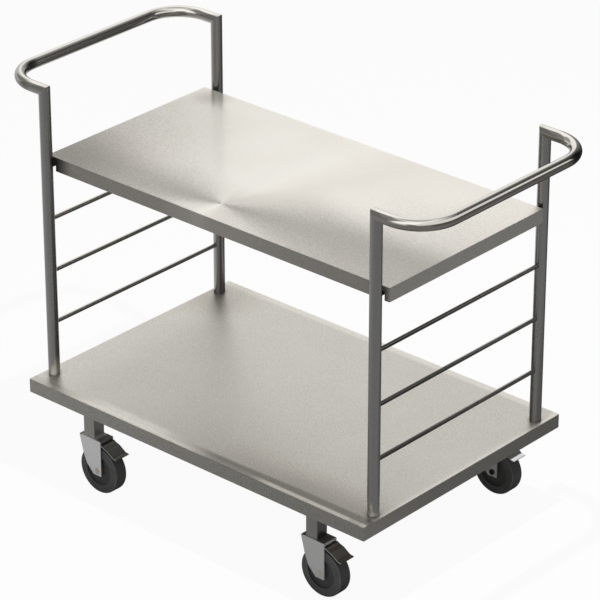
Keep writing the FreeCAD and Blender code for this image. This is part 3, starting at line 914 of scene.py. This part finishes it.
@dataclass
class EndFrames:
    """Posts, handles, rungs and legs."""

    dresser: Dresser
    post_colour: Colour = (0.82, 0.81, 0.79)
    leg_colour: Colour = (0.84, 0.815, 0.77)
    handle_colour: Colour = (0.86, 0.83, 0.765)
    # The rungs' darker colour is painted shade.
    rung_shaded_colour: Colour = (0.56, 0.54, 0.505)
    post_clear: Span = (0.70, 0.76)
    # Painted shade on the legs' right sides, darkest on the front right leg.
    leg_shade: float = 0.95
    dark_leg: Corner = Corner.FRONT_RIGHT
    dark_leg_shade: float = 0.5
    faint_lines: float = 0.1
    level_lines: Point = (1.0, 40.0, 1.0)
    mitre_run: Span = (0.425, 0.463)
    # Painted shade on each handle's bend and painted light and shade along each end's rungs.
    looks: dict[Side, EndLook] = field(default_factory=lambda: {
        Side.LEFT: EndLook(PaintedBendShade(back_loss=0.6, front_loss=0.4, turn=(0.05, 0.3)), rung_light_fade=(1.3, 1.25)),
        Side.RIGHT: EndLook(PaintedBendShade(back_loss=0.85, front_loss=0.0, turn=(-0.1, 0.15)), rung_light_fade=(0.45, 1.05)),
    })

    def dress(self) -> None:
        """Give the tubes, the bars and the hidden pieces on the legs their finishes."""
        for corner in Corner:
            self.dress_corner(corner)
        for side in Side:
            self.dress_end(side)
        for node in ("leg_plugs", "thrust_washers"):
            self.dresser.dress(node, PLAIN_STEEL)

    def dress_corner(self, corner: Corner) -> None:
        """Dress one corner's post and leg.

        Args:
            corner: The corner.
        """
        post = TubeFinish("post_tube", self.post_colour, roughness=0.24, clear_z=self.post_clear)
        self.dresser.dress(f"post_{corner.value}", post)
        shade = self.dark_leg_shade if corner is self.dark_leg else self.leg_shade
        leg = TubeFinish(f"leg_tube_{corner.value}", self.leg_colour, roughness=0.28, line_depth=self.faint_lines,
                         side_shade=shade)
        self.dresser.dress(f"leg_{corner.value}", leg)

    def dress_end(self, side: Side) -> None:
        """Dress one end's handle and rungs.

        Args:
            side: The end.
        """
        look = self.looks[side]
        handle = TubeFinish(f"handle_tube_{side.value}", self.handle_colour, roughness=0.13,
                            line_stretch=self.level_lines, line_depth=self.faint_lines,
                            marks=(MitreRunShade(self.mitre_run), look.bend))
        self.dresser.dress(f"handle_{side.value}", handle)
        rung = TubeFinish(f"rung_bar_{side.value}", self.rung_shaded_colour, roughness=0.18,
                          line_stretch=self.level_lines, line_depth=self.faint_lines, light_fade=look.rung_light_fade)
        for level in range(1, RUNGS_PER_END + 1):
            self.dresser.dress(f"rung_{side.value}_{level}", rung)


@dataclass(frozen=True)
class CastorLook:
    """What sets the castors of one end apart. Its fork and pedal colours, nose shade, leg reflection and tread shade
    make lit and shaded copies of one finish: painted light and shade.
    """

    middle: float
    fork_colour: Colour
    fork_metallic: float
    foot_side: float
    nose_shade: float
    pedal_colour: Colour
    tread_shade: float


@dataclass
class Castors:
    """Forks, wheels, axles and brake pedals."""

    dresser: Dresser
    bolt_colour: Colour = (0.80, 0.71, 0.62)
    bolt_black: float = 0.262
    nut_colour: Colour = (0.02, 0.02, 0.02)
    centre_colour: Colour = (0.085, 0.085, 0.085)
    tyre_colour: Colour = (0.11, 0.11, 0.109)
    # Painted highlight on the tyres' shoulders.
    tyre_shoulder_highlight: float = 0.6
    leg_foot: Point = (0.301, 0.2653, 0.0)
    crown_shade: float = 0.25
    # Painted highlight on the pedals' cut edges.
    pedal_cut_highlight: Colour = (0.55, 0.55, 0.54)
    pedal_round: float = 0.0003
    # Painted bands of light and shade across the pedals.
    pedal_shade_bands: tuple[Span, ...] = (
        (0.0175, 0.8), (0.034, 0.8), (0.036, 0.2), (0.0385, 0.2), (0.040, 1.0), (0.0457, 0.8), (0.0463, 0.4),
        (0.0474, 0.4), (0.048, 0.85), (0.0497, 0.85), (0.0503, 0.4), (0.0514, 0.4), (0.052, 0.9), (0.068, 0.8),
        (0.0705, 0.4), (0.0725, 0.75), (0.0794, 0.55),
    )
    lit_corner: Corner = Corner.BACK_RIGHT
    lit_colour: Colour = (1.0, 1.0, 1.0)
    lit_bands: tuple[Span, ...] = ((0.0175, 0.5), (0.050, 0.5), (0.056, 1.0), (0.0794, 1.0))
    # Each end's castors are lit and shaded copies of one finish: their fork, pedal, nose and tread tones are painted
    # light and shade.
    looks: dict[Side, CastorLook] = field(default_factory=lambda: {
        Side.LEFT: CastorLook(middle=-0.301, fork_colour=(1.0, 1.0, 1.0), fork_metallic=0.22, foot_side=1.0,
                              nose_shade=0.2, pedal_colour=(0.42, 0.41, 0.39), tread_shade=0.98),
        Side.RIGHT: CastorLook(middle=0.301, fork_colour=(0.78, 0.78, 0.775), fork_metallic=0.35, foot_side=0.0,
                               nose_shade=0.85, pedal_colour=(0.7, 0.675, 0.63), tread_shade=0.73),
    })

    def dress(self) -> None:
        """Give every castor's pieces their finishes."""
        shared = {
            "axle_bolt": PlateFinish("bolt_zinc", self.bolt_colour, roughness=0.4, metallic=0.3,
                                     black_inside=self.bolt_black),
            "axle_nut": PlateFinish("nut_black", self.nut_colour, roughness=0.45, metallic=0.0),
            "axle_sleeve": PLAIN_STEEL,
            "kingpin": PLAIN_STEEL,
            "wheel_centre": MouldedFinish("wheel_plastic", self.centre_colour, roughness=0.5),
        }
        for corner in Corner:
            fork = self.fork(corner.side)
            own = {"fork": fork, "pedal_pin": fork, "brake_pedal": self.pedal(corner), "tyre": self.tyre(corner.side)}
            for piece, finish in {**shared, **own}.items():
                self.dresser.dress(f"{piece}_{corner.value}", finish)

    def fork(self, side: Side) -> PlateFinish:
        """Zinc plate of one end's forks, with painted shade on the crown and a painted reflection of the leg round its
        foot.

        Args:
            side: The end.

        Returns:
            The forks' finish.
        """
        look = self.looks[side]
        return PlateFinish(f"fork_zinc_{side.value}", look.fork_colour, roughness=0.45, metallic=look.fork_metallic,
                           top_shade=self.crown_shade, foot=self.leg_foot, foot_side=look.foot_side,
                           nose_shade=look.nose_shade)

    def pedal(self, corner: Corner) -> PlateFinish:
        """Pressed steel of one brake pedal, with painted bands of light and shade and a painted highlight on its cut
        edge, painted paler at the lit corner.

        Args:
            corner: The pedal's corner.

        Returns:
            The pedal's finish.
        """
        look = self.looks[corner.side]
        pedal = PlateFinish(f"pedal_steel_{corner.side.value}", look.pedal_colour, roughness=0.2,
                            cut_highlight=self.pedal_cut_highlight, edge_round=self.pedal_round, shade_bands=self.pedal_shade_bands,
                            shade_bands_from=look.middle)
        if corner is self.lit_corner:
            pedal = replace(pedal, name="pedal_steel_lit", colour=self.lit_colour, shade_bands=self.lit_bands)
        return pedal

    def tyre(self, side: Side) -> MouldedFinish:
        """Rubber of one end's tyres, with painted shade on the tread and a painted highlight on the shoulder."""
        return MouldedFinish(f"tyre_rubber_{side.value}", self.tyre_colour, roughness=0.6,
                             tread_shade=self.looks[side].tread_shade, shoulder_highlight=self.tyre_shoulder_highlight)


@dataclass(frozen=True)
class Card:
    """Soft-edged patch of the skirt, by its directions from the middle of the set in degrees."""

    turn: float
    half_turn: float
    rise: float
    half_rise: float
    soft: float
    level: float

    def edge(self, graph: Graph, offset: Any, half: float) -> Socket:
        """One inside the patch and nought outside it, along one direction of half so many degrees."""
        inner, outer = math.radians(half - self.soft), math.radians(half + self.soft)
        return graph.grow(offset, (outer, inner))

    def over(self, graph: Graph, under: Any, turn: Any, rise: Any) -> Socket:
        """Lay the patch over a level.

        Args:
            graph: Graph to add the nodes to.
            under: Socket of the level below the patch.
            turn: Socket of the direction's angle about Z.
            rise: Socket of the direction's angle above the floor.

        Returns:
            The new level's socket.
        """
        aside = graph.times(graph.apart(turn, self.turn), graph.math("COSINE", rise))
        across = self.edge(graph, aside, self.half_turn)
        along = self.edge(graph, graph.apart(rise, self.rise), self.half_rise)
        return graph.blend(graph.times(across, along), under, self.level)


@dataclass
class Studio:
    """Floor, white surround, the glowing grey skirt and the light box that the steel reflects, lamp and camera."""

    floor_half: float = 30.0
    floor_white: float = 0.945
    floor_matt: Colour = (0.85, 0.85, 0.85)
    sky_light: float = 0.3
    lamp_place: Point = (0.463, 0.014, 2.62)
    lamp_size: float = 0.03
    lamp_power: float = 40.0
    skirt_radius: float = 14.0
    skirt_hole: float = 0.01
    skirt_lift: float = 0.003
    skirt_top: float = 89.0
    skirt_around: int = 64
    skirt_rings: int = 12
    skirt_centre: Point = (0.0, 0.0, 0.5)
    skirt_floor: float = 0.20
    skirt_near: float = 0.14
    skirt_high: float = 1.08
    skirt_span: Span = (-0.191, 0.493)
    near_side: Point = (0.67, -0.74, 0.0)
    glow_side: Point = (-0.77, 0.64, 0.0)
    glow_power: float = 2.0
    glow_span: Span = (-0.723, 0.947)
    glow_floor: float = 0.48
    # Painted shadows on the skirt's floor: a pool off the back right and a patch under the trolley.
    shadow_pool_place: Point = (0.80, 0.42, 0.0)
    pool_size: Span = (0.25, 0.65)
    shadow_pool_level: float = 0.5
    under_shadow_half: tuple[float, float] = (0.47, 0.32)
    under_shadow_soft: float = 0.08
    under_shadow_loss: float = 0.6
    cards: tuple[Card, ...] = (
        # Behind the trolley, on the floor and standing.
        Card(turn=84.0, half_turn=36.0, rise=-18.0, half_rise=22.0, soft=8.0, level=0.06),
        Card(turn=58.8, half_turn=40.4, rise=25.0, half_rise=36.0, soft=21.8, level=0.04),
        # Round it, for the dark lines along the handles.
        Card(turn=-137.0, half_turn=24.0, rise=29.0, half_rise=35.0, soft=6.0, level=0.20),
        Card(turn=182.0, half_turn=16.0, rise=26.0, half_rise=16.0, soft=6.0, level=0.30),
        Card(turn=165.0, half_turn=25.0, rise=80.0, half_rise=14.0, soft=6.0, level=0.45),
        Card(turn=-40.0, half_turn=36.0, rise=4.0, half_rise=20.0, soft=6.0, level=0.14),
        Card(turn=12.0, half_turn=34.0, rise=17.0, half_rise=27.0, soft=6.0, level=0.08),
    )
    box_x: float = 1.35
    box_y: Span = (-1.5, 1.35)
    box_z: Span = (1.15, 2.3)
    box_level: float = 0.75
    eye: Point = (4.0515, -4.5273, 3.4942)
    target: Point = (0.0301, -0.00875, 0.43973)
    lens: float = 205.14
    sensor: float = 36.0
    far_clip: float = 100.0

    def build(self) -> None:
        """Set up the whole set."""
        bpy.context.scene.view_settings.view_transform = "Standard"
        self.world()
        self.floor()
        self.skirt()
        self.light_box()
        self.lamp()
        self.camera()
        log.info("studio: floor, surround, skirt, light box, lamp and camera")

    def seen(self, graph: Graph) -> Socket:
        """One for what the camera, metal and glass see, and nought for the light on matt surfaces.

        Args:
            graph: Graph to add the nodes to.

        Returns:
            The switch's socket.
        """
        path = graph.add("ShaderNodeLightPath").outputs
        shown = graph.math("ADD", path["Is Camera Ray"], path["Is Glossy Ray"], clamp=True)
        return graph.math("ADD", shown, path["Is Transmission Ray"], clamp=True)

    def world(self) -> None:
        """Make the white surround, with a softer light on matt surfaces."""
        world = bpy.data.worlds.new("surround")
        bpy.context.scene.world = world
        graph = Graph(world)
        shown = graph.add("ShaderNodeBackground", {"Color": WHITE})
        light = graph.add("ShaderNodeBackground", {"Color": WHITE, "Strength": self.sky_light})
        mix = graph.add("ShaderNodeMixShader", {0: self.seen(graph), 1: light.outputs[0], 2: shown.outputs[0]})
        graph.add("ShaderNodeOutputWorld", {"Surface": mix.outputs[0]})

    def add_mesh(self, name: str, points: list[Point], faces: list[tuple[int, ...]],
                 material: bpy.types.Material) -> bpy.types.Object:
        """Add a mesh of the set.

        Args:
            name: Name of the object.
            points: Its points.
            faces: Its faces as rows of point numbers.
            material: Its material.

        Returns:
            The new object.
        """
        mesh = bpy.data.meshes.new(name)
        mesh.from_pydata(points, [], faces)
        mesh.materials.append(material)
        stage = bpy.data.objects.new(name, mesh)
        bpy.context.scene.collection.objects.link(stage)
        return stage

    def floor(self) -> None:
        """Lay the pale floor, which keeps a faint shadow."""
        graph = Graph.for_material("floor_white")
        matt = graph.add("ShaderNodeBsdfDiffuse", {"Color": (*self.floor_matt, 1.0)})
        white = graph.add("ShaderNodeEmission", {"Color": WHITE, "Strength": 1.0})
        share = graph.times(self.seen(graph), self.floor_white)
        mix = graph.add("ShaderNodeMixShader", {0: share, 1: matt.outputs[0], 2: white.outputs[0]})
        graph.add("ShaderNodeOutputMaterial", {"Surface": mix.outputs[0]})
        half = self.floor_half
        points = [(-half, -half, 0.0), (half, -half, 0.0), (half, half, 0.0), (-half, half, 0.0)]
        floor = self.add_mesh("floor", points, [(0, 1, 2, 3)], graph.owner)

    def mirrored_only(self, stage: bpy.types.Object) -> None:
        """Leave an object of the set to the steel's reflections alone.

        Args:
            stage: The object.
        """
        for ray in ("camera", "diffuse", "transmission", "shadow"):
            setattr(stage, f"visible_{ray}", False)

    def skirt(self) -> None:
        """Stand a glowing grey skirt round the set for the steel to reflect; it glows and is no lamp."""
        profile = [(self.skirt_hole, self.skirt_lift), (self.skirt_radius, self.skirt_lift)]
        for ring in range(1, self.skirt_rings + 1):
            rise = math.radians(self.skirt_top * ring / self.skirt_rings)
            height = self.skirt_centre[2] + self.skirt_radius * math.sin(rise)
            profile.append((self.skirt_radius * math.cos(rise), height))
        points, faces = [], []
        for radius, height in profile:
            for step in range(self.skirt_around):
                angle = math.tau * step / self.skirt_around
                points.append((radius * math.cos(angle), radius * math.sin(angle), height))
        for ring in range(len(profile) - 1):
            low, high = ring * self.skirt_around, (ring + 1) * self.skirt_around
            for step in range(self.skirt_around):
                following = (step + 1) % self.skirt_around
                faces.append((low + step, low + following, high + following, high + step))
        self.mirrored_only(self.add_mesh("skirt", points, faces, self.skirt_glow()))

    def skirt_glow(self) -> bpy.types.Material:
        """Make the skirt's glow, which is no lamp: dark floor, paler upwards, a glow to one side and the soft dark
        cards.

        Returns:
            The skirt's material.
        """
        graph = Graph.for_material("skirt_glow")
        out = graph.vector("NORMALIZE", graph.vector("SUBTRACT", graph.place(), self.skirt_centre))
        level_out = graph.level(out)
        glow = graph.math("POWER", graph.toward(level_out, self.glow_side), self.glow_power)
        low, high = (graph.blend(glow, plain, glowing) for plain, glowing in zip(self.skirt_span, self.glow_span))
        part = graph.parts(out)
        level = graph.span(part["Z"], low, high, self.skirt_foot(graph, level_out, glow), self.skirt_high)
        rise = graph.math("ARCSINE", part["Z"])
        turn = graph.math("ARCTAN2", part["Y"], part["X"])
        for card in self.cards:
            level = card.over(graph, level, turn, rise)
        return self.glowing(graph, level)

    def skirt_foot(self, graph: Graph, level_out: Any, glow: Any) -> Socket:
        """Shade the part of the skirt that lies on the floor, with a painted shadow under the trolley and a painted
        shadow pool off its back right corner.

        Args:
            graph: Graph of the skirt's material.
            level_out: Socket of the level direction from the middle of the set.
            glow: Socket of the glow's share.

        Returns:
            The level's socket.
        """
        floor = graph.blend(graph.toward(level_out, self.near_side), self.skirt_floor, self.skirt_near)
        from_shadow_pool = graph.measure("DISTANCE", graph.place(), self.shadow_pool_place)
        floor = graph.times(floor, graph.span(from_shadow_pool, *self.pool_size, self.shadow_pool_level, 1.0))
        floor = graph.blend(glow, floor, self.glow_floor)
        spot = graph.spot()
        under = graph.times(*(graph.grow(graph.unsigned(spot[axis]), (half + self.under_shadow_soft, half - self.under_shadow_soft))
                              for axis, half in zip("XY", self.under_shadow_half)))
        return graph.times(floor, graph.span(under, 0.0, 1.0, 1.0, 1.0 - self.under_shadow_loss))

    def glowing(self, graph: Graph, strength: Any) -> bpy.types.Material:
        """Close a graph that glows and isn't a lamp.

        Args:
            graph: Graph to close.
            strength: Value or socket of the glow's strength.

        Returns:
            The material.
        """
        glow = graph.add("ShaderNodeEmission", {"Color": WHITE, "Strength": strength})
        graph.add("ShaderNodeOutputMaterial", {"Surface": glow.outputs[0]})
        graph.owner.cycles.emission_sampling = "NONE"
        return graph.owner

    def light_box(self) -> None:
        """Stand a light box beside the right end, for the line along its handle."""
        material = self.glowing(Graph.for_material("light_box"), self.box_level)
        (front, back), (foot, head) = self.box_y, self.box_z
        points = [(self.box_x, *place) for place in ((front, foot), (back, foot), (back, head), (front, head))]
        self.mirrored_only(self.add_mesh("light_box", points, [(0, 1, 2, 3)], material))

    def lamp(self) -> None:
        """Hang one small round lamp over the trolley."""
        data = bpy.data.lights.new("overhead", "AREA")
        data.shape = "DISK"
        data.size = self.lamp_size
        data.energy = self.lamp_power
        lamp = bpy.data.objects.new("overhead", data)
        lamp.location = self.lamp_place
        lamp.visible_glossy = False
        bpy.context.scene.collection.objects.link(lamp)

    def camera(self) -> None:
        """Place the camera at the photographed angle."""
        data = bpy.data.cameras.new("camera")
        data.lens = self.lens
        data.sensor_width = self.sensor
        data.clip_end = self.far_clip
        camera = bpy.data.objects.new("camera", data)
        camera.location = self.eye
        aim = Vector(self.target) - Vector(self.eye)
        camera.rotation_euler = aim.to_track_quat("-Z", "Y").to_euler()
        bpy.context.scene.collection.objects.link(camera)
        bpy.context.scene.camera = camera


def main() -> None:
    """Load the frame, dress every piece and set up the studio."""
    logging.basicConfig(level=logging.INFO, format="%(name)s %(message)s")
    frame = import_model()
    dresser = Dresser(frame["nodes"])
    for assembly in (Trays(dresser), EndFrames(dresser), Castors(dresser)):
        assembly.dress()
    Studio().build()


if __name__ == "__main__":
    main()
